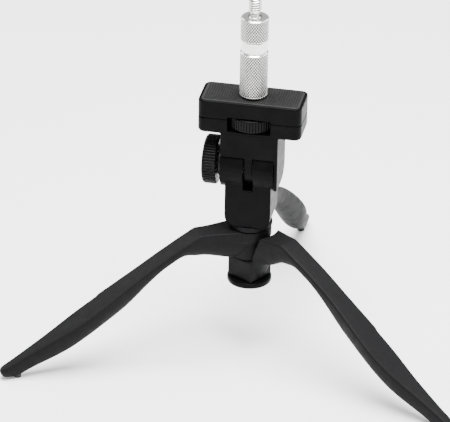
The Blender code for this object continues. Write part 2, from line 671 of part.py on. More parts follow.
def build_lower_shell():
    """The neck, its tongue in the post's slot, and the lower half of the platform, in one piece."""
    bm = shell_block(PLATE_RISE, SHELL_SEAM, PLATE_WIDTH, PLATE_DEPTH, PLATE_CORNER)
    round_edges(bm, at_height(PLATE_RISE), 1.4 * MM, 3)
    shell = place("lower_shell", bm, head, material=body_plastic)
    hollow = shell_block(
        PLATE_RISE + SHELL_FLOOR,
        SHELL_SEAM + MM,
        PLATE_WIDTH - 2 * SHELL_WALL,
        PLATE_DEPTH - 2 * SHELL_WALL,
        PLATE_CORNER - SHELL_WALL,
    )
    cut(shell, hollow, "hollow", head)
    half_depth = PLATE_DEPTH / 2
    ear_inner = BARREL_RIGHT + RUNNING_GAP
    ear_outer = ear_inner + EAR_THICKNESS
    into_shell = PLATE_RISE + 0.5 * MM
    neck = box((-BARREL_LEFT, -half_depth, 0), (ear_outer, half_depth, into_shell))
    saddle = rod(BARREL_RADIUS + 2 * RUNNING_GAP, -PLATE_WIDTH, PLATE_WIDTH)
    neck_obj = place("neck_cutter", neck, head, cutter=True)
    cut(neck_obj, saddle, "saddle", head, axis="X")
    saddle_edge = math.sqrt((BARREL_RADIUS + 2 * RUNNING_GAP) ** 2 - half_depth**2)
    below = box(
        (-PLATE_WIDTH, -PLATE_DEPTH, -MM), (PLATE_WIDTH, PLATE_DEPTH, saddle_edge + 0.2 * MM)
    )
    cut(neck_obj, below, "below", head)
    neck_join = shell.modifiers.new("neck", "BOOLEAN")
    neck_join.operation = "UNION"
    neck_join.object = neck_obj
    ear = box((ear_inner, -half_depth, -EAR_DROP), (ear_outer, half_depth, into_shell))
    for end, radius in ((-1, EAR_FRONT_CORNER), (1, EAR_REAR_CORNER)):

        def lower_corner(edge, end=end):
            return all(vert.co.z < MM and vert.co.y * end > half_depth - 1e-6 for vert in edge.verts)

        round_edges(ear, lower_corner, radius, 5)
    join(shell, ear, "ear", head)
    half_tongue = TONGUE_WIDTH / 2
    web = box(
        (-half_tongue, -TONGUE_RADIUS, 0),
        (half_tongue, TONGUE_RADIUS, BARREL_RADIUS + 2 * MM),
    )
    join(shell, web, "tongue_web", head)
    join(shell, rod(TONGUE_RADIUS, -half_tongue, half_tongue), "tongue", head, axis="X")
    bore = rod(BOLT_RADIUS + RUNNING_GAP, -SLOT_WIDTH, SLOT_WIDTH, sides=SMALL_ROUND)
    cut(shell, bore, "tongue_bore", head, axis="X")
    for number, spot in enumerate(boss_places(), 1):
        boss = rod(SHELL_BOSS_RADIUS, PLATE_RISE + MM, SHELL_SEAM, sides=SMALL_ROUND)
        join(shell, boss, f"boss_{number}", head, spot)
        head_hole = rod(
            SHELL_SCREW_HEAD + SEAT_GAP,
            PLATE_RISE - MM,
            PLATE_RISE + SHELL_SCREW_HEAD_DEPTH + SEAT_GAP,
            sides=SMALL_ROUND,
        )
        cut(shell, head_hole, f"head_hole_{number}", head, spot)
        shank_hole = rod(SHELL_SCREW_RADIUS + RUNNING_GAP, PLATE_RISE, SHELL_SEAM + MM, sides=SMALL_ROUND)
        cut(shell, shank_hole, f"shank_hole_{number}", head, spot)
    cut(shell, window_box(), "window", head)


def build_upper_shell():
    """The upper half of the platform: hollow below, with a shallow tray above for the pad."""
    low = SHELL_SEAM + SEAT_GAP
    bm = shell_block(low, SHELL_TOP, PLATE_WIDTH, PLATE_DEPTH, PLATE_CORNER)
    round_edges(bm, at_height(SHELL_TOP), 0.6 * MM, 2)
    shell = place("upper_shell", bm, head, material=body_plastic)
    tray = shell_block(
        PAD_FLOOR,
        SHELL_TOP + MM,
        PLATE_WIDTH - 2 * PAD_INSET,
        PLATE_DEPTH - 2 * PAD_INSET,
        PLATE_CORNER - PAD_INSET,
    )
    cut(shell, tray, "tray", head)
    hollow = shell_block(
        low - MM,
        CEILING,
        PLATE_WIDTH - 2 * SHELL_WALL,
        PLATE_DEPTH - 2 * SHELL_WALL,
        PLATE_CORNER - SHELL_WALL,
    )
    cut(shell, hollow, "hollow", head)
    clip_top = WHEEL_TOP + SEAT_GAP + CLIP_THICKNESS
    boss = rod(WHEEL_SEAT_RADIUS, clip_top + RUNNING_GAP, CEILING + 0.5 * MM)
    join(shell, boss, "wheel_boss", head)
    for number, spot in enumerate(boss_places(), 1):
        post = rod(SHELL_BOSS_RADIUS, low, CEILING + 0.5 * MM, sides=SMALL_ROUND)
        join(shell, post, f"boss_{number}", head, spot)
        depth = PLATE_RISE + SHELL_SCREW_LENGTH + SEAT_GAP
        hole = rod(SHELL_SCREW_RADIUS + RUNNING_GAP, low - MM, depth, sides=SMALL_ROUND)
        cut(shell, hole, f"hole_{number}", head, spot)
    bore = rod(SCREW_RADIUS + RUNNING_GAP, low, SHELL_TOP + MM, sides=SMALL_ROUND)
    cut(shell, bore, "bore", head)
    cut(shell, window_box(), "window", head)


def build_platform_pieces():
    """Pad, thumbwheel with its pressed-in screw and clip, and the four screws that close the shell."""
    pad = shell_block(
        PAD_BOTTOM,
        PAD_TOP,
        PLATE_WIDTH - 2 * (PAD_INSET + SEAT_GAP),
        PLATE_DEPTH - 2 * (PAD_INSET + SEAT_GAP),
        PLATE_CORNER - PAD_INSET - SEAT_GAP,
    )
    pad = place("top_pad", pad, head, material=rubber)
    pad_bore = rod(SCREW_RADIUS + RUNNING_GAP, PAD_BOTTOM - MM, PAD_TOP + MM, sides=SMALL_ROUND)
    cut(pad, pad_bore, "bore", head)
    bm = ridged(WHEEL_RADIUS, WHEEL_RIDGE_DEPTH, WHEEL_RIDGES, WHEEL_BOTTOM, WHEEL_TOP)
    wheel = place("thumbwheel", bm, platform_turn, material=body_plastic)
    hex_bottom = WHEEL_BOTTOM + SEAT_GAP
    hex_top = hex_bottom + SCREW_HEX_THICKNESS
    pocket = hexagon(SCREW_HEX_FLATS + 2 * SEAT_GAP, WHEEL_BOTTOM - MM, hex_top + SEAT_GAP)
    cut(wheel, pocket, "hex_pocket", platform_turn)
    wheel_bore = rod(SCREW_RADIUS + SEAT_GAP, WHEEL_BOTTOM, WHEEL_TOP + MM, sides=SMALL_ROUND)
    cut(wheel, wheel_bore, "bore", platform_turn)
    screw = place(
        "platform_screw", hexagon(SCREW_HEX_FLATS, hex_bottom, hex_top), platform_turn, material=steel
    )
    shank = rod(SCREW_RADIUS, hex_bottom + MM, PAD_TOP + SCREW_PROUD, sides=SMALL_ROUND)
    join(screw, shank, "shank", platform_turn)
    low = WHEEL_TOP + SEAT_GAP
    high = low + CLIP_THICKNESS
    ring("retaining_clip", SCREW_RADIUS + SEAT_GAP, CLIP_RADIUS, low, high, platform_turn, material=steel)
    for number, spot in enumerate(boss_places(), 1):
        head_top = PLATE_RISE + SHELL_SCREW_HEAD_DEPTH
        profile = [
            (0, PLATE_RISE + SHELL_SCREW_LENGTH),
            (SHELL_SCREW_RADIUS, PLATE_RISE + SHELL_SCREW_LENGTH),
            (SHELL_SCREW_RADIUS, head_top),
            (SHELL_SCREW_HEAD, head_top),
            (SHELL_SCREW_HEAD, PLATE_RISE),
            (0, PLATE_RISE),
        ]
        screw = turned(f"shell_screw_{number}", profile, head, spot, material=steel, sides=12)
        tip = rod(0.9 * MM, PLATE_RISE - MM, PLATE_RISE + 0.7 * MM, sides=6)
        cut(screw, tip, "hex_socket", head, spot)


def build_adapter():
    """The metal spigot: two knurled grips, a smooth groove between them, and a stud on top."""
    grip_1 = ADAPTER_SEAT + ADAPTER_LOWER_GRIP
    grip_2 = grip_1 + ADAPTER_GROOVE
    top = grip_2 + ADAPTER_UPPER_GRIP
    bore = SCREW_RADIUS + RUNNING_GAP
    socket = top - STUD_ROOT_LENGTH - SEAT_GAP
    stud_hole = STUD_RADIUS + SEAT_GAP
    profile = [
        (stud_hole, top),
        (ADAPTER_RADIUS - ADAPTER_CHAMFER, top),
        (ADAPTER_RADIUS, top - ADAPTER_CHAMFER),
        (ADAPTER_RADIUS, grip_2 + 0.4 * MM),
        (ADAPTER_GROOVE_RADIUS, grip_2),
        (ADAPTER_GROOVE_RADIUS, grip_1),
        (ADAPTER_RADIUS, grip_1 - 0.4 * MM),
        (ADAPTER_RADIUS, ADAPTER_SEAT + 0.5 * MM),
        (ADAPTER_RADIUS - 0.5 * MM, ADAPTER_SEAT),
        (bore + 0.5 * MM, ADAPTER_SEAT),
        (bore, ADAPTER_SEAT + 0.5 * MM),
        (bore, ADAPTER_SEAT + ADAPTER_BORE_DEPTH),
        (STUD_SOCKET_EXTRA, ADAPTER_SEAT + ADAPTER_BORE_DEPTH + MM),
        (STUD_SOCKET_EXTRA, socket),
        (stud_hole, socket),
    ]
    turned("adapter_body", profile, adapter_turn, material=nickel)
    neck_bottom = top
    neck_top = neck_bottom + STUD_NECK_LENGTH
    thread_top = neck_top + STUD_THREAD_LENGTH
    profile = [(0, thread_top + 0.5 * MM), (STUD_RADIUS - 1.0 * MM, thread_top + 0.35 * MM)]
    profile += [
        (STUD_RADIUS, thread_top - 0.4 * MM),
        (STUD_RADIUS, neck_top),
        (STUD_NECK_RADIUS, neck_top - 0.4 * MM),
        (STUD_NECK_RADIUS, neck_bottom),
        (STUD_RADIUS, neck_bottom - 0.4 * MM),
        (STUD_RADIUS, top - STUD_ROOT_LENGTH),
        (0, top - STUD_ROOT_LENGTH),
    ]
    turned("adapter_stud", profile, adapter_turn, material=nickel, sides=28)


clear_scene()
parts = new_collection("tabletop_tripod")
cutters = new_collection("cutters", hidden=True)
body_plastic = finish("black_plastic", (0.018, 0.018, 0.02), 0.42)
leg_plastic = finish("grained_plastic", (0.03, 0.03, 0.033), 0.55)
rubber = finish("rubber", (0.02, 0.02, 0.02), 0.8)
nylon = finish("nylon", (0.5, 0.5, 0.48), 0.5)
steel = finish("zinc_steel", (0.55, 0.55, 0.56), 0.35, 1.0)
nickel = finish("bright_nickel", (0.78, 0.77, 0.75), 0.22, 1.0)

column = empty("column_axis", location=(0, COLUMN_Y, 0))
tilt_base = empty("tilt_base", column, (0, 0, TILT_HEIGHT))
head = empty("head_pivot", column, (0, 0, TILT_HEIGHT))
knob_turn = empty("knob_pivot", column, (0, 0, TILT_HEIGHT))
platform_turn = empty("platform_axis", head)
adapter_turn = empty("adapter_axis", head)

build_left_leg()
build_right_leg()
build_rear_leg()
axle_nut_bottom, axle_top = build_column()
tilt_nut_place = build_post(axle_nut_bottom, axle_top)
build_tilt_hardware(tilt_nut_place)
build_lower_shell()
build_upper_shell()
build_platform_pieces()
build_adapter()
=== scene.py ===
"""Looks of the tabletop tripod.

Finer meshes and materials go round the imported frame, with a floor, lights and a camera.
"""

import json
import math

import bmesh
import bpy
from mathutils import Matrix, Vector


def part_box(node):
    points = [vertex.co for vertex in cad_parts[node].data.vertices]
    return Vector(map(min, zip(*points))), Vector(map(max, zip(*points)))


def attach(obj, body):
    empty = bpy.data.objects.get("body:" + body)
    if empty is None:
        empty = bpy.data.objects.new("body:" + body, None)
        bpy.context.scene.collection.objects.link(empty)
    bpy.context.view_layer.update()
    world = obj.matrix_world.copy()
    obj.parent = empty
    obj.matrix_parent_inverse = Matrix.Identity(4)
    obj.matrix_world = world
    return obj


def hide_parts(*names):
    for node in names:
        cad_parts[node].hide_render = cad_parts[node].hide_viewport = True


MM = 0.001

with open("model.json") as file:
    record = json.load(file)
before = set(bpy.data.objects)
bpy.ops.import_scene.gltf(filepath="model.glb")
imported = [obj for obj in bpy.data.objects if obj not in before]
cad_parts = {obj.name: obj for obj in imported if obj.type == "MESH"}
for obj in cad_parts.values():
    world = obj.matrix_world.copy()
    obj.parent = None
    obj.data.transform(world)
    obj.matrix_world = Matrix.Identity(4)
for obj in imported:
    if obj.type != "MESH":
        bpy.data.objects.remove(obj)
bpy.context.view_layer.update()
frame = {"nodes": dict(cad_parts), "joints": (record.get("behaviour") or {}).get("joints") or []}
nodes = frame["nodes"]
joints = {joint["name"]: joint for joint in frame["joints"]}
tilt_axis = Vector(joints["head_tilt"]["pos_m"])
column_y = tilt_axis.y
column_axis = Vector((0, column_y, 0))
LEFT, RIGHT, REAR = 210.0, 330.0, 87.4  # azimuths of the legs


# --- Materials --------------------------------------------------------------------------


class Surface:
    """A node material made step by step. Its pattern follows the object's own coordinates."""

    def __init__(self, name, colour, roughness, metallic=0.0, specular=0.5):
        self.material = bpy.data.materials.new(name)
        self.material.use_nodes = True
        self.tree = self.material.node_tree
        self.shader = self.tree.nodes["Principled BSDF"]
        self.colour = colour
        self.roughness = roughness
        self.set("Base Color", (*colour, 1))
        self.set("Roughness", roughness)
        self.set("Metallic", metallic)
        self.set("Specular IOR Level", specular)
        self.place = self.node("ShaderNodeTexCoord").outputs["Object"]
        self.height = None

    def node(self, kind, **settings):
        made = self.tree.nodes.new(kind)
        for key, value in settings.items():
            setattr(made, key, value)
        return made

    def set(self, socket, value):
        self.shader.inputs[socket].default_value = value

    def link(self, source, target):
        self.tree.links.new(source, target)

    def noise(self, size, detail=2.0, stretch=(1, 1, 1)):
        """Noise whose blobs are about size across, from 0 to 1."""
        mapping = self.node("ShaderNodeMapping")
        mapping.inputs["Scale"].default_value = stretch
        self.link(self.place, mapping.inputs["Vector"])
        made = self.node("ShaderNodeTexNoise")
        made.inputs["Scale"].default_value = 1 / size
        made.inputs["Detail"].default_value = detail
        self.link(mapping.outputs["Vector"], made.inputs["Vector"])
        return made.outputs["Fac"]

    def cells(self, size, kind="F1"):
        made = self.node("ShaderNodeTexVoronoi", feature=kind)
        made.inputs["Scale"].default_value = 1 / size
        self.link(self.place, made.inputs["Vector"])
        return made.outputs["Distance"]

    def remap(self, source, low, high, to_low=0.0, to_high=1.0):
        made = self.node("ShaderNodeMapRange")
        ends = {"From Min": low, "From Max": high, "To Min": to_low, "To Max": to_high}
        for key, value in ends.items():
            made.inputs[key].default_value = value
        self.link(source, made.inputs["Value"])
        return made.outputs["Result"]

    def vary_roughness(self, source, spread):
        self.link(
            self.remap(source, 0.3, 0.7, self.roughness - spread, self.roughness + spread),
            self.shader.inputs["Roughness"],
        )

    def mix_towards(self, other, factor):
        """Mixes the base colour made so far towards another one."""
        mix = self.node("ShaderNodeMix", data_type="RGBA")
        base = self.shader.inputs["Base Color"]
        if base.is_linked:
            self.link(base.links[0].from_socket, mix.inputs["A"])
        else:
            mix.inputs["A"].default_value = (*self.colour, 1)
        mix.inputs["B"].default_value = (*other, 1)
        self.link(factor, mix.inputs["Factor"])
        self.link(mix.outputs["Result"], base)

    def vary_colour(self, source, other):
        self.mix_towards(other, self.remap(source, 0.35, 0.75))

    def paint_valley_shade(self, other):
        """Takes the other colour where lathe's relief is deep: painted shade in the valleys."""
        depth = self.node("ShaderNodeAttribute", attribute_name="relief").outputs["Fac"]
        self.mix_towards(other, self.remap(depth, 0.15, 0.9))

    def bump(self, source, depth):
        made = self.node("ShaderNodeBump")
        made.inputs["Distance"].default_value = depth
        made.inputs["Strength"].default_value = 1.0
        self.link(source, made.inputs["Height"])
        if self.height:
            self.link(self.height, made.inputs["Normal"])
        self.height = made.outputs["Normal"]
        self.link(self.height, self.shader.inputs["Normal"])


def satin_plastic():
    """Black moulded plastic with a fine spark-eroded skin."""
    made = Surface("satin_black_plastic", (0.0012, 0.0012, 0.0014), 0.38, specular=0.035)
    made.bump(made.noise(0.16 * MM, 3), 0.008 * MM)
    made.bump(made.noise(6 * MM, 1), 0.03 * MM)
    made.vary_roughness(made.noise(4 * MM, 3), 0.05)
    made.vary_colour(made.noise(9 * MM, 4), (0.0028, 0.0028, 0.003))
    return made.material


def grained_plastic():
    """The legs' plastic: a touch greyer, with a leather-like grain that catches the light."""
    made = Surface("grained_black_plastic", (0.003, 0.003, 0.0033), 0.58, specular=0.065)
    made.bump(made.cells(0.55 * MM, "SMOOTH_F1"), 0.035 * MM)
    made.bump(made.noise(0.22 * MM, 2), 0.012 * MM)
    made.vary_roughness(made.noise(5 * MM, 4), 0.07)
    made.vary_colour(made.noise(0.5 * MM, 2), (0.006, 0.006, 0.0064))
    return made.material


def rubber():
    """Matt black rubber for the pad and the feet."""
    made = Surface("matt_rubber", (0.006, 0.006, 0.006), 0.5, specular=0.25)
    made.bump(made.noise(0.25 * MM, 3), 0.015 * MM)
    made.vary_roughness(made.noise(3 * MM, 3), 0.08)
    made.vary_colour(made.noise(2 * MM, 3), (0.009, 0.009, 0.009))
    return made.material


def knob_plastic():
    """A little glossier, with painted shade in the valleys between the ridges."""
    made = Surface("handled_black_plastic_with_painted_shade", (0.0014, 0.0014, 0.0016), 0.3, specular=0.07)
    made.bump(made.noise(0.2 * MM, 2), 0.006 * MM)
    made.vary_roughness(made.noise(1.4 * MM, 3), 0.08)
    made.vary_colour(made.noise(3 * MM, 3), (0.0035, 0.0035, 0.0038))
    # Painted shade in the valleys between the ridges.
    made.paint_valley_shade((0.001, 0.001, 0.001))
    return made.material


def nickel():
    """Bright plating with faint turning marks round it."""
    made = Surface("bright_nickel", (0.79, 0.785, 0.77), 0.16, 1.0)
    made.bump(made.noise(0.9 * MM, 2, stretch=(0.15, 0.15, 9)), 0.0015 * MM)
    made.bump(made.noise(0.12 * MM, 2), 0.001 * MM)
    made.vary_roughness(made.noise(2.5 * MM, 3), 0.045)
    made.vary_colour(made.noise(4 * MM, 2), (0.72, 0.715, 0.7))
    # Painted shade in the valleys between the knurls.
    made.paint_valley_shade((0.1, 0.1, 0.1))
    return made.material


def zinc():
    """Plated steel for the screws, nuts and washers."""
    made = Surface("zinc_plated_steel", (0.5, 0.505, 0.51), 0.34, 1.0)
    made.bump(made.noise(0.3 * MM, 3), 0.003 * MM)
    made.vary_roughness(made.noise(1.5 * MM, 4), 0.08)
    made.vary_colour(made.noise(2 * MM, 4), (0.4, 0.4, 0.41))
    return made.material


def blackened():
    """Oiled black oxide on a steel washer."""
    made = Surface("blackened_steel", (0.02, 0.02, 0.021), 0.4, 0.6)
    made.bump(made.noise(0.3 * MM, 3), 0.003 * MM)
    made.vary_roughness(made.noise(1.5 * MM, 3), 0.07)
    made.vary_colour(made.noise(2 * MM, 3), (0.03, 0.03, 0.03))
    return made.material


def nylon():
    """Undyed nylon for the discs that the joints turn on."""
    made = Surface("natural_nylon", (0.5, 0.49, 0.45), 0.45)
    made.set("Subsurface Weight", 0.1)
    made.bump(made.noise(0.4 * MM, 2), 0.004 * MM)
    made.vary_roughness(made.noise(1 * MM, 3), 0.06)
    return made.material


# --- Mesh helpers -----------------------------------------------------------------------


def finished(name, bm, material, sharp=38.0):
    """An object from bm, shaded smooth but for the edges sharper than the given angle."""
    bmesh.ops.recalc_face_normals(bm, faces=bm.faces)
    mesh = bpy.data.meshes.new(name)
    bm.to_mesh(mesh)
    bm.free()
    mesh.shade_smooth()
    mesh.set_sharp_from_angle(angle=math.radians(sharp))
    mesh.materials.append(material)
    obj = bpy.data.objects.new(name, mesh)
    bpy.context.scene.collection.objects.link(obj)
    return obj


def stands_for(obj, body, slot, *replaced):
    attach(obj, body)
    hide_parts(*replaced)


def apply_modifiers(obj):
    graph = bpy.context.evaluated_depsgraph_get()
    mesh = bpy.data.meshes.new_from_object(obj.evaluated_get(graph))
    obj.modifiers.clear()
    obj.data = mesh


def moulded(obj, voxel, passes):
    """Rounds every edge and fills every corner a little, as a mould does."""
    remesh = obj.modifiers.new("remesh", "REMESH")
    remesh.mode = "VOXEL"
    remesh.voxel_size = voxel
    remesh.adaptivity = 0
    smooth = obj.modifiers.new("smooth", "SMOOTH")
    smooth.factor = 0.5
    smooth.iterations = passes
    apply_modifiers(obj)
    obj.data.shade_smooth()
    return obj


def copy_of(node, name, material):
    """A new object with the CAD node's mesh, to be worked on."""
    mesh = nodes[node].data.copy()
    mesh.materials.clear()
    mesh.materials.append(material)
    obj = bpy.data.objects.new(name, mesh)
    bpy.context.scene.collection.objects.link(obj)
    return obj


def combine(obj, operation, bm):
    """Adds the solid in bm to the object, or takes it away."""
    tool = finished("helper", bm, None)
    modifier = obj.modifiers.new(operation, "BOOLEAN")
    modifier.operation = operation
    modifier.object = tool
    apply_modifiers(obj)
    bpy.data.objects.remove(tool)


def cylinder(radius, low, high, centre=(0, 0), top_radius=None):
    """An upright rod, or a cone where the top has its own radius."""
    bm = bmesh.new()
    bmesh.ops.create_cone(
        bm,
        cap_ends=True,
        segments=96,
        radius1=radius,
        radius2=radius if top_radius is None else top_radius,
        depth=high - low,
        matrix=Matrix.Translation((centre[0], centre[1], (low + high) / 2)),
    )
    return bm


def on_column(radius, low, high, top_radius=None):
    return cylinder(radius, low, high, (0, column_y), top_radius)


def block(middle, size, corner, corner_steps, turn=None):
    """A block with rounded upright edges."""
    bm = bmesh.new()
    bmesh.ops.create_cube(bm, size=1, matrix=Matrix.LocRotScale(middle, turn, size))
    upright = [edge for edge in bm.edges if abs(edge.verts[0].co.z - edge.verts[1].co.z) > 1e-5]
    bmesh.ops.bevel(
        bm, geom=upright, offset=corner, segments=corner_steps, profile=0.5, affect="EDGES"
    )
    return bm


def block_on_column(half, low, high, azimuth, corner):
    middle = Vector((0, column_y, (low + high) / 2))
    turn = Matrix.Rotation(math.radians(azimuth), 3, "Z")
    return block(middle, (2 * half, 2 * half, high - low), corner, 5, turn)


def lathe(name, rings, sides, material, relief=None, closed=False, centre=(0, 0, 0), turn=None):
    """Turns (radius, height, weight) rings about Z. relief(angle, height) is taken off each radius.

    The attribute "relief" holds how deep each point lies, from 0 on the crests to 1 in the valleys.
    """
    bm = bmesh.new()
    depth_layer = bm.verts.layers.float.new("relief")
    deepest = max(relief(math.tau * step / sides, 0) for step in range(sides)) if relief else 1
    loops = []
    for radius, height, weight in rings:
        if radius < 1e-9:
            loops.append([bm.verts.new((0, 0, height))])
            continue
        loop = []
        for step in range(sides):
            angle = math.tau * step / sides
            cut = weight * relief(angle, height) if relief and weight else 0
            around = radius - cut
            vert = bm.verts.new((around * math.cos(angle), around * math.sin(angle), height))
            vert[depth_layer] = cut / deepest
            loop.append(vert)
        loops.append(loop)
    pairs = list(zip(loops, loops[1:]))
    if closed:
        pairs.append((loops[-1], loops[0]))
    for upper, lower in pairs:
        for step in range(sides):
            after = (step + 1) % sides
            corners = []
            for loop, index in ((upper, step), (lower, step), (lower, after), (upper, after)):
                vert = loop[index % len(loop)] if len(loop) > 1 else loop[0]
                if vert not in corners:
                    corners.append(vert)
            bm.faces.new(corners)
    placed = Matrix.Translation(centre) @ (turn or Matrix.Identity(4))
    bmesh.ops.transform(bm, matrix=placed, verts=bm.verts)
    return finished(name, bm, material, sharp=50.0)


def spaced(start, end, step):
    """Evenly spaced values from start to end, at most a step apart."""
    count = max(1, math.ceil(abs(end - start) / step))
    return [start + (end - start) * index / count for index in range(count + 1)]


def triangle_wave(value):
    """0 at whole numbers, 1 half way between them."""
    return 1 - abs(2 * (value % 1) - 1)


def smooth_step(value):
    """0 up to 0, 1 from 1 on, and an S-curve between them."""
    value = min(max(value, 0), 1)
    return value * value * (3 - 2 * value)


def blend(points, at):
    """A smooth curve through (place, value) points, level at each of them."""
    if at <= points[0][0]:
        return points[0][1]
    for (start, first), (end, last) in zip(points, points[1:]):
        if at <= end:
            return first + (last - first) * smooth_step((at - start) / (end - start))
    return points[-1][1]


# --- Spigot -----------------------------------------------------------------------------

KNURLS_ROUND = 32
KNURL_DEPTH = 0.5 * MM
KNURL_CLIMB = 1.3  # the height, in pitches, that a knurl climbs while it goes round by one
KNURL_FADE = 0.5 * MM
SPIGOT_CHAMFER = 0.5 * MM
SPIGOT_BORE = 3.5 * MM
SPIGOT_BORE_DEPTH = 9.0 * MM
LOWER_GRIP = 24.0 * MM
GROOVE_WIDTH = 6.2 * MM
GROOVE_RADIUS = 6.35 * MM
GROOVE_EDGE = 0.45 * MM
STUD_RADIUS = 3.175 * MM
STUD_NECK_RADIUS = 2.15 * MM
STUD_NECK_LENGTH = 3.3 * MM
STUD_DOME_RADIUS = 2.35 * MM
STUD_DOME_HEIGHT = 0.35 * MM
THREAD_PITCH = 25.4 / 20 * MM
THREAD_DEPTH = 0.62 * MM


def build_adapter(metal):
    """The spigot: two grips with diamond knurls and a smooth groove between them."""
    low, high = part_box("adapter_body")
    radius = (high.x - low.x) / 2
    pitch = math.tau * radius / KNURLS_ROUND
    groove_bottom = low.z + LOWER_GRIP
    groove_top = groove_bottom + GROOVE_WIDTH

    def diamonds(angle, height):
        turns = angle / math.tau * KNURLS_ROUND
        rise = (height - low.z) / (pitch * KNURL_CLIMB)
        ridge = min(triangle_wave(turns + rise), triangle_wave(turns - rise))
        return KNURL_DEPTH * (1 - min(1, ridge * 2.0))

    def grip(top, bottom):
        return [
            (radius, height, smooth_step(min(top - height, height - bottom) / KNURL_FADE))
            for height in spaced(top, bottom, 0.16 * MM)
        ]

    top_face = radius - SPIGOT_CHAMFER
    lip = GROOVE_RADIUS + 0.1 * MM
    rings = [
        (SPIGOT_BORE, high.z, 0),
        (top_face - 0.1 * MM, high.z, 0),
        (top_face + 0.05 * MM, high.z - 0.06 * MM, 0),
    ]
    rings += grip(high.z - SPIGOT_CHAMFER, groove_top + GROOVE_EDGE)
    rings.append((lip, groove_top, 0))
    groove = spaced(groove_top - 0.1 * MM, groove_bottom + 0.1 * MM, MM)
    rings += [(GROOVE_RADIUS, height, 0) for height in groove]
    rings.append((lip, groove_bottom, 0))
    rings += grip(groove_bottom - GROOVE_EDGE, low.z + 0.6 * MM)
    rings += [
        (radius - 0.5 * MM, low.z, 0),
        (SPIGOT_BORE + 0.5 * MM, low.z, 0),
        (SPIGOT_BORE, low.z + 0.5 * MM, 0),
        (SPIGOT_BORE, low.z + SPIGOT_BORE_DEPTH, 0),
    ]
    sides = KNURLS_ROUND * 12
    body = lathe("spigot_body", rings, sides, metal, diamonds, closed=True, centre=column_axis)
    stands_for(body, "adapter", "bright_nickel", "adapter_body")
    build_stud(metal, high.z)


def build_stud(metal, shoulder):
    """A quarter-inch stud: an undercut neck, then a helical thread with a domed end."""
    low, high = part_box("adapter_stud")
    thread_low = shoulder + STUD_NECK_LENGTH
    thread_high = high.z - 0.5 * MM

    def thread(angle, height):
        wave = triangle_wave((height - thread_low) / THREAD_PITCH - angle / math.tau)
        return THREAD_DEPTH * (1 - min(1, max(0, wave * 2.0 - 0.2)))

    rings = [(0, high.z, 0)]
    for step in range(1, 6):
        lean = math.pi / 2 * step / 6
        drop = STUD_DOME_HEIGHT * (1 - math.cos(lean))
        rings.append((STUD_DOME_RADIUS * math.sin(lean), high.z - drop, 0))
    for height in spaced(thread_high + 0.05 * MM, thread_low, 0.1 * MM):
        from_end = min(thread_high + 0.3 * MM - height, height - thread_low + 0.35 * MM)
        fade = smooth_step(from_end / (0.5 * MM))
        taper = smooth_step((height - (thread_high - 0.7 * MM)) / (0.9 * MM))
        rings.append((STUD_RADIUS - THREAD_DEPTH * taper, height, fade * (1 - 0.8 * taper)))
    rings += [
        (STUD_NECK_RADIUS + 0.15 * MM, thread_low - 0.3 * MM, 0),
        (STUD_NECK_RADIUS, thread_low - 0.5 * MM, 0),
        (STUD_NECK_RADIUS, shoulder + 0.4 * MM, 0),
        (STUD_NECK_RADIUS + 0.3 * MM, shoulder + 0.05 * MM, 0),
        (STUD_RADIUS, shoulder - 0.2 * MM, 0),
        (STUD_RADIUS, low.z + 0.2 * MM, 0),
        (0, low.z + 0.2 * MM, 0),
    ]
    stud = lathe("spigot_stud", rings, 72, metal, thread, centre=column_axis)
    stands_for(stud, "adapter", "bright_nickel", "adapter_stud")


# --- Knob, its washer and the thumbwheel ------------------------------------------------

KNOB_RIDGES = 52
KNOB_RIDGE_DEPTH = 0.62 * MM
KNOB_CHAMFER = 1.7 * MM
KNOB_BORE = 3.6 * MM
KNOB_WELL_RADIUS = 7.0 * MM
KNOB_WELL_DEPTH = 1.6 * MM
WASHER_BORE = 3.3 * MM
WASHER_EDGE = 0.25 * MM
WHEEL_RIDGES = 50
WHEEL_RIDGE_DEPTH = 0.55 * MM
WHEEL_BORE = 4.0 * MM
WHEEL_EDGE = 0.7 * MM

along_hinge = Matrix.Rotation(-math.pi / 2, 4, "Y")  # turns +Z to -X, from the neck to the knob


def ridges(count, depth):
    """Rounded ridges with narrow valleys, running along the axis."""

    def relief(angle, height):
        wave = triangle_wave(angle / math.tau * count)
        return depth * (1 - math.sqrt(max(0, 1 - (1 - wave) ** 2.2)))

    return relief


def build_knob(plastic):
    """The ridged knob, with a well for its cap in the outer face."""
    low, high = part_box("tilt_knob")
    radius = (high.z - low.z) / 2
    width = high.x - low.x
    rings = [
        (KNOB_BORE, width - KNOB_WELL_DEPTH, 0),
        (KNOB_WELL_RADIUS, width - KNOB_WELL_DEPTH, 0),
        (KNOB_WELL_RADIUS, width - 0.3 * MM, 0),
        (KNOB_WELL_RADIUS + 0.3 * MM, width, 0),
        (radius - KNOB_CHAMFER - 0.6 * MM, width, 0),
    ]
    for step in range(7):
        lean = math.pi / 2 * step / 6
        around = radius - KNOB_CHAMFER + KNOB_CHAMFER * math.sin(lean)
        height = width - KNOB_CHAMFER + KNOB_CHAMFER * math.cos(lean)
        rings.append((around, height, smooth_step(step / 5)))
    straight = spaced(width - KNOB_CHAMFER - 0.4 * MM, 0.7 * MM, 0.6 * MM)
    rings += [(radius, height, 1) for height in straight]
    rings += [
        (radius - 0.12 * MM, 0.35 * MM, 0.9),
        (radius - 0.5 * MM, 0.0, 0.5),
        (radius - 1.6 * MM, 0, 0),
        (KNOB_BORE, 0, 0),
    ]
    centre = Vector((high.x, tilt_axis.y, tilt_axis.z))
    relief = ridges(KNOB_RIDGES, KNOB_RIDGE_DEPTH)
    sides = KNOB_RIDGES * 8
    knob = lathe("knob_grip", rings, sides, plastic, relief, True, centre, along_hinge)
    stands_for(knob, "knob", "black_plastic", "tilt_knob")
    build_knob_cap(plastic, centre, width)


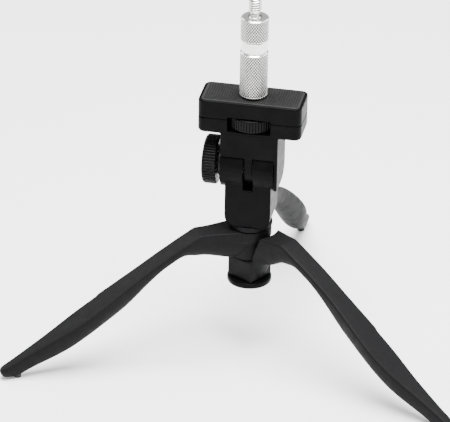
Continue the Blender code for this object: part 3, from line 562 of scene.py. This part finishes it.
def build_knob_cap(plastic, centre, width):
    """A slightly dished button with a fine raised rim."""
    top = width - 0.05 * MM
    rings = [
        (0, top - 0.35 * MM, 0),
        (2 * MM, top - 0.34 * MM, 0),
        (4.4 * MM, top - 0.28 * MM, 0),
        (5.4 * MM, top - 0.12 * MM, 0),
        (5.9 * MM, top, 0),
        (6.3 * MM, top - 0.04 * MM, 0),
        (6.6 * MM, top - 0.35 * MM, 0),
        (6.6 * MM, top - 1.1 * MM, 0),
        (0, top - 1.1 * MM, 0),
    ]
    cap = lathe("knob_button", rings, 96, plastic, centre=centre, turn=along_hinge)
    stands_for(cap, "knob", "black_plastic", "knob_cap")


def build_knob_washer(material):
    """The flat washer between the knob and the barrel."""
    low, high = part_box("knob_washer")
    radius = (high.z - low.z) / 2
    width = high.x - low.x
    rings = [
        (WASHER_BORE, width, 0),
        (radius - WASHER_EDGE, width, 0),
        (radius, width - WASHER_EDGE, 0),
        (radius, WASHER_EDGE, 0),
        (radius - WASHER_EDGE, 0, 0),
        (WASHER_BORE, 0, 0),
    ]
    centre = Vector((high.x, tilt_axis.y, tilt_axis.z))
    washer = lathe(
        "knob_thrust_washer", rings, 72, material, closed=True, centre=centre, turn=along_hinge
    )
    stands_for(washer, "root", "zinc_steel", "knob_washer")


def build_wheel(plastic):
    """The thumbwheel, with ridges that fade out over both rounded edges."""
    low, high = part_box("thumbwheel")
    radius = (high.x - low.x) / 2
    face = radius - WHEEL_EDGE - 0.8 * MM
    rings = [(WHEEL_BORE, high.z, 0), (face, high.z, 0)]
    for step in range(6):
        lean = math.pi / 2 * step / 5
        around = radius - WHEEL_EDGE * (1 - math.sin(lean))
        rings.append((around, high.z - WHEEL_EDGE * (1 - math.cos(lean)), step / 5))
    straight = spaced(high.z - WHEEL_EDGE - 0.5 * MM, low.z + WHEEL_EDGE + 0.5 * MM, 0.7 * MM)
    rings += [(radius, height, 1) for height in straight]
    for step in range(6):
        lean = math.pi / 2 * step / 5
        around = radius - WHEEL_EDGE * (1 - math.cos(lean))
        rings.append((around, low.z + WHEEL_EDGE * (1 - math.sin(lean)), 1 - step / 5))
    rings += [(face, low.z, 0), (WHEEL_BORE, low.z, 0)]
    relief = ridges(WHEEL_RIDGES, WHEEL_RIDGE_DEPTH)
    sides = WHEEL_RIDGES * 8
    wheel = lathe("wheel_grip", rings, sides, plastic, relief, True, column_axis)
    stands_for(wheel, "wheel", "black_plastic", "thumbwheel")


# --- Pad --------------------------------------------------------------------------------

PAD_CORNER = 2.2 * MM
PAD_BORDER = 0.7 * MM
PAD_STUD_PITCH = 1.25 * MM
PAD_STUD_HEIGHT = 0.5 * MM
PAD_STUD_SINK = 0.05 * MM
SCREW_HOLE_RADIUS = 3.475 * MM
SPIGOT_CLEARING = 7.4 * MM  # no studs lie this near the spigot's axis


def build_pad(material):
    """A rubber sheet with fine square studs inside a smooth border."""
    low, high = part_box("top_pad")
    width, depth = high.x - low.x, high.y - low.y
    middle = (low + high) / 2
    floor = high.z - PAD_STUD_HEIGHT
    sheet_middle = (middle.x, middle.y, (low.z + floor) / 2)
    bm = block(sheet_middle, (width, depth, floor - low.z), PAD_CORNER, 6)
    rim = [edge for edge in bm.edges if all(vert.co.z > floor - 1e-6 for vert in edge.verts)]
    bmesh.ops.bevel(bm, geom=rim, offset=0.15 * MM, segments=2, profile=0.5, affect="EDGES")
    sheet = finished("pad_sheet", bm, material)
    combine(sheet, "DIFFERENCE", on_column(SCREW_HOLE_RADIUS, low.z - MM, high.z + MM))
    stands_for(sheet, "head", "rubber", "top_pad")
    build_pad_studs(material, middle, width, depth, high.z)


def build_pad_studs(material, middle, width, depth, top):
    columns = math.floor((width - 2 * PAD_BORDER) / PAD_STUD_PITCH)
    rows = math.floor((depth - 2 * PAD_BORDER) / PAD_STUD_PITCH)
    half_foot, half_top = 0.42 * PAD_STUD_PITCH, 0.2 * PAD_STUD_PITCH
    height = PAD_STUD_HEIGHT + PAD_STUD_SINK
    bm = bmesh.new()
    for column in range(columns):
        for row in range(rows):
            x = middle.x + (column - (columns - 1) / 2) * PAD_STUD_PITCH
            y = middle.y + (row - (rows - 1) / 2) * PAD_STUD_PITCH
            past_corner_x = max(abs(x - middle.x) - width / 2 + PAD_CORNER, 0)
            past_corner_y = max(abs(y - middle.y) - depth / 2 + PAD_CORNER, 0)
            over_border = math.hypot(past_corner_x, past_corner_y) > PAD_CORNER - PAD_BORDER
            if over_border or math.hypot(x, y - column_y) < SPIGOT_CLEARING:
                continue
            bmesh.ops.create_cone(
                bm,
                cap_ends=True,
                segments=4,
                radius1=half_foot * math.sqrt(2),
                radius2=half_top * math.sqrt(2),
                depth=height,
                matrix=Matrix.Translation((x, y, top - height / 2))
                @ Matrix.Rotation(math.pi / 4, 4, "Z"),
            )
    studs = finished("pad_studs", bm, material, sharp=20)
    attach(studs, "head")


# --- Legs -------------------------------------------------------------------------------

LEG_REACH = 132.3 * MM
TIP_RADIUS = 3.0 * MM
TIP_HEIGHT = 5.2 * MM
TIP_DEPTH = 9.6 * MM
TIP_START = LEG_REACH - TIP_RADIUS  # where the plan view of the tip begins to round
LEFT_BEND, RIGHT_BEND, REAR_BEND = 28.5 * MM, 25.5 * MM, 38.0 * MM
LEFT_SWELL, RIGHT_SWELL, REAR_SWELL = 0.6 * MM, 1.3 * MM, 2.4 * MM
RIGHT_LEVEL_DROP = 1.2 * MM
NECK_START, NECK_END = 26.0 * MM, 54.0 * MM
NECK_HALF_WIDTH = 5.8 * MM
NECK_DEPTH = 7.0 * MM
NECK_TURN_UP = 3.8 * MM
REAR_NECK_START, REAR_NECK_PLACE = 14.2 * MM, 23.0 * MM
BEND_TO_NECK = 16.0 * MM
BEND_TO_PADDLE = 42.0 * MM
UNDERSIDE_RUN = 14.0 * MM
SHIFT_START = 40.0 * MM
PADDLE_HALF_WIDTH = 7.7 * MM
PADDLE_PLACE = 88.0 * MM
PADDLE_SHIFT = 1.3 * MM
PADDLE_DEPTH = 12.6 * MM
REAR_PADDLE_START = 70.0 * MM
GROUND_CLEARANCE = 0.4 * MM
EDGE_ROUND = 1.0 * MM
TOP_CROWN = 0.12 * MM
SECTION_FULLNESS = 0.8  # 1 for a half ellipse below the edges, less for a squarer section
SEAT_GAP = 0.3 * MM
COLLAR_GAP = 0.4 * MM
COLLAR_RADIUS = 9.0 * MM
RIM_RADIUS = 10.8 * MM
RIM_HEIGHT = 7.0 * MM
RIM_CHAMFER = 1.5 * MM
SQUARE_COLLAR = 16.0 * MM
RISER_LEAN = 5.6 * MM
ROOT_RADIUS = 11.2 * MM
KEY_SIZE = 9.0 * MM
KEY_HEIGHT = 3.0 * MM
AXLE_HOLE = 3.3 * MM
DISC_RECESS, DISC_RECESS_DEPTH = 6.9 * MM, 1.0 * MM
SPRING_RECESS, SPRING_RECESS_DEPTH = 6.7 * MM, 1.5 * MM
GRIP_START = 79.0 * MM  # where the tops' grip zone begins, at a small step in the edge
GRIP_STEP = 0.7 * MM
PAST = 1.0 * MM  # how far a cutter goes past the face that it opens
ARC_POINTS = 26
STATION_STEP = 1.5 * MM
LEG_VOXEL = 0.42 * MM
LEG_SMOOTHING = 10

# The column's stack, read from the frame
lower_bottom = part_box("bottom_cap")[1].z + SEAT_GAP
upper_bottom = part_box("lower_disc")[1].z + SEAT_GAP
lower_top = upper_bottom - COLLAR_GAP
upper_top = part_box("leg_left")[1].z
root_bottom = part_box("upper_disc")[1].z + SEAT_GAP
root_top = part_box("post")[0].z - SEAT_GAP


def leg_top(at, level, bend, swell):
    """Height of the top: level up to the bend, then a slope to the tip with a gentle S in it."""
    share = max(at - bend, 0) / (LEG_REACH - bend)
    return level + (TIP_HEIGHT - level) * share + swell * math.sin(math.tau * share)


def grip_step(at):
    """How deep the grip zone's step stands in, fading away again before the tip."""
    fade_in = smooth_step((at - GRIP_START) / (1.2 * MM))
    fade_out = smooth_step((TIP_START - 8 * MM - at) / (20 * MM))
    return GRIP_STEP * fade_in * fade_out


def leg_section(top, bottom, half_width, step_side, step):
    """(across, height) points round the leg, with the grip zone's step taken off one top edge."""
    edge = min(EDGE_ROUND, half_width / 3, (top - bottom) / 3)
    section = []
    for side in (1, -1):
        inset = step if side == step_side else 0
        turns = [math.pi / 2 * index / 4 for index in range(5)]
        for turn in turns if side == 1 else reversed(turns):
            across = side * (half_width - inset - edge + edge * math.cos(turn))
            section.append((across, top - edge + edge * math.sin(turn)))
        if side == 1:
            for share in (-0.5, 0, 0.5):
                section.append((-half_width * share, top + TOP_CROWN * (1 - share * share)))
    for index in range(1, ARC_POINTS):
        angle = math.pi * (1 - index / ARC_POINTS)
        sideways = math.copysign(abs(math.cos(angle)) ** SECTION_FULLNESS, math.cos(angle))
        down = math.sin(angle) ** SECTION_FULLNESS
        section.append((half_width * sideways, top - edge - (top - edge - bottom) * down))
    return section


def leg_loft(start, level, bend, swell, root_width, bottom_of, shift, step_side, azimuth):
    """The leg as one skin over sections, laid along +X and then turned to its azimuth."""
    widths = [
        (start, root_width),
        (NECK_START, NECK_HALF_WIDTH),
        (NECK_END, NECK_HALF_WIDTH),
        (PADDLE_PLACE, PADDLE_HALF_WIDTH),
        (TIP_START, TIP_RADIUS),
    ]
    shifts = [(SHIFT_START, 0), (PADDLE_PLACE, shift), (TIP_START, 0)]
    round_end = [math.sin(math.pi / 2 * index / 8.3) for index in range(1, 9)]
    stations = spaced(start, TIP_START, STATION_STEP)
    stations += [TIP_START + TIP_RADIUS * share for share in round_end]
    bm = bmesh.new()
    rings = []
    for at in stations:
        top = leg_top(at, level, bend, swell)
        narrowing = math.sqrt(max(1 - (max(at - TIP_START, 0) / TIP_RADIUS) ** 2, 0.004))
        half_width = blend(widths, at) * narrowing
        bottom = top - (top - max(bottom_of(at, top), GROUND_CLEARANCE)) * narrowing
        offset = blend(shifts, at)
        section = leg_section(top, bottom, half_width, step_side, grip_step(at))
        rings.append([bm.verts.new((at, across + offset, height)) for across, height in section])
    for first, second in zip(rings, rings[1:]):
        for index in range(len(first)):
            after = (index + 1) % len(first)
            bm.faces.new((first[index], first[after], second[after], second[index]))
    bm.faces.new(rings[0])
    bm.faces.new(rings[-1])
    place = Matrix.Translation(column_axis) @ Matrix.Rotation(math.radians(azimuth), 4, "Z")
    bmesh.ops.transform(bm, matrix=place, verts=bm.verts)
    return bm


def depth_beyond(bend):
    """(place, depth) points of the neck, the paddle and the tip."""
    return [
        (bend + BEND_TO_NECK, NECK_DEPTH),
        (bend + BEND_TO_PADDLE, PADDLE_DEPTH),
        (PADDLE_PLACE + 6 * MM, PADDLE_DEPTH),
        (LEG_REACH - 10 * MM, TIP_DEPTH),
        (LEG_REACH, TIP_HEIGHT - GROUND_CLEARANCE),
    ]


def front_underside(bend, turn_up):
    """The underside of a front leg: turn_up's curve by the column, then a depth below the top."""
    thickness = depth_beyond(bend)

    def bottom_of(at, top):
        share = blend([(bend, 0), (bend + UNDERSIDE_RUN, 1)], at)
        return blend(turn_up, at) * (1 - share) + (top - blend(thickness, at)) * share

    return bottom_of


def cut_foot_pocket(leg, foot):
    low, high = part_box(foot)
    middle = (low + high) / 2
    radius = (high.x - low.x) / 2 + SEAT_GAP
    combine(leg, "DIFFERENCE", cylinder(radius, low.z - 5 * MM, high.z + SEAT_GAP, middle.xy))


def build_left_leg(material):
    """The upper front leg: a flared round collar with the leg leaving it level."""
    turn_up = [(8 * MM, upper_bottom), (LEFT_BEND, upper_bottom + NECK_TURN_UP)]
    bottom_of = front_underside(LEFT_BEND, turn_up)
    loft = leg_loft(
        0, upper_top, LEFT_BEND, LEFT_SWELL, COLLAR_RADIUS, bottom_of, PADDLE_SHIFT, -1, LEFT
    )
    leg = finished("left_leg_moulding", loft, material)
    combine(leg, "UNION", on_column(COLLAR_RADIUS, upper_bottom, upper_top))
    rim_bottom = upper_top - RIM_HEIGHT
    combine(leg, "UNION", on_column(RIM_RADIUS, rim_bottom + RIM_CHAMFER, upper_top))
    flare_top = rim_bottom + RIM_CHAMFER + 0.1 * MM
    flare = on_column(COLLAR_RADIUS, rim_bottom, flare_top, RIM_RADIUS + 0.05 * MM)
    combine(leg, "UNION", flare)
    moulded(leg, LEG_VOXEL, LEG_SMOOTHING)
    recess_bottom = upper_top - DISC_RECESS_DEPTH
    combine(leg, "DIFFERENCE", on_column(DISC_RECESS, recess_bottom, upper_top + PAST))
    combine(leg, "DIFFERENCE", on_column(AXLE_HOLE, upper_bottom - PAST, upper_top + PAST))
    cut_foot_pocket(leg, "foot_left")
    stands_for(leg, "left_leg", "grained_plastic", "leg_left")


def build_right_leg(material):
    """The lower front leg: a square collar and a riser that leans out to the other legs' height."""
    half = SQUARE_COLLAR / 2
    start = half - 1 * MM
    turn_up = [
        (start, lower_bottom),
        (half + 5 * MM, lower_top - 1 * MM),
        (RIGHT_BEND, upper_bottom + NECK_TURN_UP),
    ]
    bottom_of = front_underside(RIGHT_BEND, turn_up)
    level = upper_top - RIGHT_LEVEL_DROP
    width = half - 0.4 * MM
    loft = leg_loft(
        start, level, RIGHT_BEND, RIGHT_SWELL, width, bottom_of, -PADDLE_SHIFT, 1, RIGHT
    )
    leg = finished("right_leg_moulding", loft, material)
    combine(leg, "UNION", block_on_column(half, lower_bottom, lower_top, RIGHT, 1 * MM))
    reach = COLLAR_RADIUS + SEAT_GAP
    lean = on_column(reach, lower_top, upper_top + PAST, reach + RISER_LEAN)
    combine(leg, "DIFFERENCE", lean)
    moulded(leg, LEG_VOXEL, LEG_SMOOTHING)
    recess_bottom = lower_top - DISC_RECESS_DEPTH
    combine(leg, "DIFFERENCE", on_column(DISC_RECESS, recess_bottom, lower_top + PAST))
    spring_top = lower_bottom + SPRING_RECESS_DEPTH
    combine(leg, "DIFFERENCE", on_column(SPRING_RECESS, lower_bottom - PAST, spring_top))
    combine(leg, "DIFFERENCE", on_column(AXLE_HOLE, lower_bottom - PAST, lower_top + PAST))
    cut_foot_pocket(leg, "foot_right")
    stands_for(leg, "right_leg", "grained_plastic", "leg_right")


def build_rear_leg(material):
    """The fixed leg: a round root under the post, with a square key that stops it turning."""
    thickness = [
        (REAR_NECK_START, root_top - root_bottom - 0.1 * MM),
        (REAR_NECK_PLACE, NECK_DEPTH),
        (REAR_BEND + 8 * MM, NECK_DEPTH + 3 * MM),
        (REAR_PADDLE_START, PADDLE_DEPTH),
        *depth_beyond(REAR_BEND)[2:],
    ]

    def bottom_of(at, top):
        return top - blend(thickness, at)

    width = ROOT_RADIUS - 1 * MM
    loft = leg_loft(0, root_top, REAR_BEND, REAR_SWELL, width, bottom_of, -PADDLE_SHIFT, 1, REAR)
    leg = finished("rear_leg_moulding", loft, material)
    combine(leg, "UNION", on_column(ROOT_RADIUS, root_bottom, root_top))
    moulded(leg, LEG_VOXEL, LEG_SMOOTHING)
    key_top = root_top + KEY_HEIGHT
    combine(leg, "UNION", block_on_column(KEY_SIZE / 2, root_top - 1 * MM, key_top, 0, 0.4 * MM))
    combine(leg, "DIFFERENCE", on_column(AXLE_HOLE, root_bottom - PAST, key_top + 2 * PAST))
    cut_foot_pocket(leg, "foot_rear")
    stands_for(leg, "root", "grained_plastic", "leg_rear")


# --- Feet and bottom cap ----------------------------------------------------------------

FEET = {"foot_left": "left_leg", "foot_right": "right_leg", "foot_rear": "root"}
FOOT_EDGE = 0.4 * MM
CAP_POCKET_RADIUS = 5.3 * MM
CAP_POCKET_DEPTH = 1.7 * MM


def build_feet(material):
    """Rubber buttons with a rounded lower edge."""
    for foot, body in FEET.items():
        low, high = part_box(foot)
        middle = (low + high) / 2
        radius = (high.x - low.x) / 2
        rings = [
            (0, high.z, 0),
            (radius, high.z, 0),
            (radius, low.z + FOOT_EDGE, 0),
            (radius - 0.3 * FOOT_EDGE, low.z + 0.3 * FOOT_EDGE, 0),
            (radius - FOOT_EDGE, low.z, 0),
            (0, low.z, 0),
        ]
        button = lathe(foot + "_button", rings, 48, material, centre=(middle.x, middle.y, 0))
        stands_for(button, body, "rubber", foot)


def build_bottom_cap(material):
    """The round cap under the collars, with a pocket for the screw's head in its face."""
    low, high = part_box("bottom_cap")
    radius = (high.x - low.x) / 2
    sink = low.z + CAP_POCKET_DEPTH
    rings = [
        (AXLE_HOLE, high.z, 0),
        (radius - 0.5 * MM, high.z, 0),
        (radius - 0.15 * MM, high.z - 0.15 * MM, 0),
        (radius, high.z - 0.5 * MM, 0),
        (radius, low.z + 0.9 * MM, 0),
        (radius - 0.25 * MM, low.z + 0.3 * MM, 0),
        (radius - 0.9 * MM, low.z, 0),
        (CAP_POCKET_RADIUS + 0.2 * MM, low.z, 0),
        (CAP_POCKET_RADIUS, low.z + 0.2 * MM, 0),
        (CAP_POCKET_RADIUS, sink, 0),
        (AXLE_HOLE, sink, 0),
    ]
    cap = lathe("round_cap", rings, 96, material, closed=True, centre=column_axis)
    stands_for(cap, "root", "black_plastic", "bottom_cap")


# --- Housings and small pieces ----------------------------------------------------------

HOUSINGS = {"post": "root", "lower_shell": "head", "upper_shell": "head"}
HOUSING_VOXEL = 0.3 * MM
HOUSING_SMOOTHING = 3
STEEL_NODES = (
    "axle_screw", "axle_nut", "spring_washer", "tilt_bolt", "tilt_nut", "platform_screw",
    "retaining_clip", "shell_screw_1", "shell_screw_2", "shell_screw_3", "shell_screw_4",
)
NYLON_NODES = ("lower_disc", "upper_disc", "friction_disc_left", "friction_disc_right")


def build_housings(material):
    """The post and the platform's two shells, with every edge eased as a mould eases it."""
    for node, body in HOUSINGS.items():
        housing = copy_of(node, node + "_moulding", material)
        moulded(housing, HOUSING_VOXEL, HOUSING_SMOOTHING)
        stands_for(housing, body, "black_plastic", node)


def dress(names, material):
    """These pieces keep their CAD meshes and get their material."""
    for name in names:
        mesh = nodes[name].data
        mesh.materials.clear()
        mesh.materials.append(material)
        mesh.shade_smooth()
        mesh.set_sharp_from_angle(angle=math.radians(35))


# --- Floor, lights and camera -----------------------------------------------------------

FLOOR_SIZE = 6.0
LIGHT_TARGET = Vector((0, -0.02, 0.09))
LIGHTS = {  # azimuth and elevation in degrees; distance, width and height in metres; watts
    "top_softbox": (20, 82, 1.1, 0.9, 0.9, 75),
    "right_strip": (78, 22, 0.9, 0.35, 0.8, 3),
    "right_rear_softbox": (135, 38, 1.0, 0.6, 0.6, 4),
    "left_rear_softbox": (235, 35, 1.1, 0.6, 0.6, 5),
    "front_fill": (-25, 20, 1.3, 0.8, 0.6, 1.5),
}
WORLD_STRENGTH = 0.7
CAMERA_AZIMUTH, CAMERA_ELEVATION, CAMERA_ROLL = 10.69, 28.3, 1.1
CAMERA_DISTANCE = 2.0
CAMERA_LENS, SENSOR_WIDTH = 317.2, 36.0  # in millimetres
CAMERA_TARGET = Vector((0, column_y + 0.7 * MM, 80 * MM))
CAMERA_SLIDE = Vector((-13.1 * MM, -4.6 * MM))


def build_floor():
    """A pale table top."""
    made = Surface("pale_floor", (0.86, 0.86, 0.865), 0.55, specular=0.3)
    made.vary_roughness(made.noise(60 * MM, 2), 0.04)
    made.vary_colour(made.noise(250 * MM, 2), (0.84, 0.84, 0.845))
    bm = bmesh.new()
    bmesh.ops.create_grid(bm, x_segments=1, y_segments=1, size=FLOOR_SIZE)
    floor = finished("floor", bm, made.material)


def direction(azimuth, elevation):
    """The way from the object, in degrees; azimuth 0 is in front and 90 to its right."""
    a, e = math.radians(azimuth), math.radians(elevation)
    return Vector((math.sin(a) * math.cos(e), -math.cos(a) * math.cos(e), math.sin(e)))


def aim(obj, target, roll=0.0):
    """Points the object's -Z at the target, rolled about it by some degrees."""
    forward = (target - obj.location).normalized()
    rolled = Matrix.Rotation(math.radians(roll), 3, "Z").to_quaternion()
    obj.rotation_mode = "QUATERNION"
    obj.rotation_quaternion = forward.to_track_quat("-Z", "Y") @ rolled


def area_light(name, azimuth, elevation, distance, width, height, watts):
    light = bpy.data.lights.new(name, "AREA")
    light.shape = "RECTANGLE"
    light.size, light.size_y = width, height
    light.energy = watts
    obj = bpy.data.objects.new(name, light)
    bpy.context.scene.collection.objects.link(obj)
    obj.location = LIGHT_TARGET + direction(azimuth, elevation) * distance
    aim(obj, LIGHT_TARGET)


def build_lights():
    """Broad light from above and weak lights round the object, so that its near sides stay dark."""
    for name, settings in LIGHTS.items():
        area_light(name, *settings)
    world = bpy.context.scene.world or bpy.data.worlds.new("studio")
    bpy.context.scene.world = world
    world.use_nodes = True
    background = world.node_tree.nodes["Background"]
    background.inputs["Color"].default_value = (1, 1, 1, 1)
    background.inputs["Strength"].default_value = WORLD_STRENGTH


def build_camera():
    """A long lens, a little to the right and well above, slid so that the tripod is off centre."""
    away = direction(CAMERA_AZIMUTH, CAMERA_ELEVATION)
    azimuth = math.radians(CAMERA_AZIMUTH)
    right = Vector((math.cos(azimuth), math.sin(azimuth), 0))
    up = away.cross(right).normalized()
    camera = bpy.data.objects.new("camera", bpy.data.cameras.new("camera"))
    bpy.context.scene.collection.objects.link(camera)
    camera.data.sensor_width = SENSOR_WIDTH
    camera.data.lens = CAMERA_LENS
    camera.data.clip_start, camera.data.clip_end = 0.1, 20
    camera.location = CAMERA_TARGET + away * CAMERA_DISTANCE
    aim(camera, CAMERA_TARGET, CAMERA_ROLL)
    camera.location += right * CAMERA_SLIDE.x + up * CAMERA_SLIDE.y
    bpy.context.scene.camera = camera


def main():
    satin = satin_plastic()
    grained = grained_plastic()
    rubbery = rubber()
    handled = knob_plastic()
    build_housings(satin)
    build_left_leg(grained)
    build_right_leg(grained)
    build_rear_leg(grained)
    build_feet(rubbery)
    build_bottom_cap(satin)
    build_knob_washer(blackened())
    build_knob(handled)
    build_wheel(handled)
    build_pad(rubbery)
    build_adapter(nickel())
    dress(STEEL_NODES, zinc())
    dress(NYLON_NODES, nylon())
    build_floor()
    build_lights()
    build_camera()


main()
